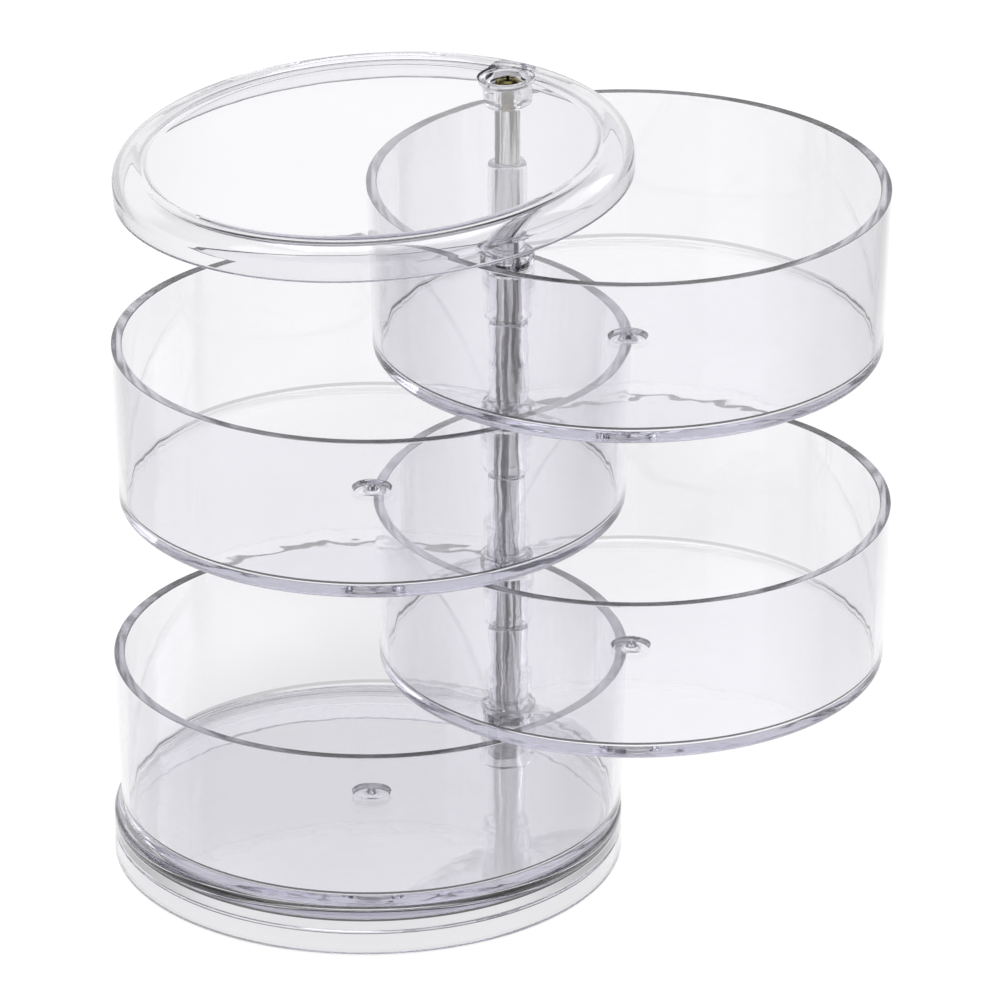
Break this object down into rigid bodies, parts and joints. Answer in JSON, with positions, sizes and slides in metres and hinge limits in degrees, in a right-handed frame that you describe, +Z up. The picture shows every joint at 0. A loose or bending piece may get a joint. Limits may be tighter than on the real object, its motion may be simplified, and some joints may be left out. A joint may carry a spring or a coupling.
{
  "type": "swivel tray tool caddy",
  "caption": "Tower of clear round trays with a lid, which swing out sideways on one upright metal rod, for sorting small tools, bits and parts.",
  "frame": {"origin": "middle of the outside box in plan, on the surface the base stands on, with the trays and lid swung out as stored", "axes": "+Z up along the rod; +X towards the trays swung right; -Y towards the front, away from the rod"},
  "size_m": [0.1815, 0.1238, 0.1814],
  "materials": {
    "clear_plastic": "polished",
    "rod_chrome": "polished",
    "screw_brass": "gloss",
    "zinc_steel": "satin"
  },
  "bodies": {
    "base_and_rod": {"base": "clear_plastic", "spindle_rod": "rod_chrome", "top_screw": "screw_brass", "bottom_washer": "zinc_steel", "bottom_nut": "zinc_steel"},
    "tray_4": {"tray_4": "clear_plastic", "tray_4_bush": "clear_plastic"},
    "tray_3": {"tray_3": "clear_plastic", "tray_3_bush": "clear_plastic"},
    "tray_2": {"tray_2": "clear_plastic", "tray_2_bush": "clear_plastic"},
    "tray_1": {"tray_1": "clear_plastic", "tray_1_bush": "clear_plastic"},
    "lid_washer": {"lid_washer": "zinc_steel"},
    "lid": {"lid": "clear_plastic", "lid_bush": "clear_plastic"}
  },
  "joints": [
    {"name": "tray_4_swivel", "type": "hinge", "parent": "base_and_rod", "child": "tray_4", "pos_m": [0.00196, 0.03973, 0.0117], "axis": [0, 0, 1], "continuous": true},
    {"name": "tray_3_swivel", "type": "hinge", "parent": "base_and_rod", "child": "tray_3", "pos_m": [0.00196, 0.03973, 0.051], "axis": [0, 0, 1], "continuous": true},
    {"name": "tray_2_swivel", "type": "hinge", "parent": "base_and_rod", "child": "tray_2", "pos_m": [0.00196, 0.03973, 0.0903], "axis": [0, 0, 1], "continuous": true},
    {"name": "tray_1_swivel", "type": "hinge", "parent": "base_and_rod", "child": "tray_1", "pos_m": [0.00196, 0.03973, 0.1296], "axis": [0, 0, 1], "continuous": true},
    {"name": "lid_tilt", "type": "hinge", "parent": "tray_1", "child": "lid_washer", "pos_m": [0.00196, 0.03973, 0.1745], "axis": [-0.1616, 0.9869, 0], "range_deg": [0, 3.5]},
    {"name": "lid_swivel", "type": "hinge", "parent": "lid_washer", "child": "lid", "pos_m": [0.00196, 0.03973, 0.1745], "axis": [-0.0602, -0.0099, 0.9981], "continuous": true}
  ]
}
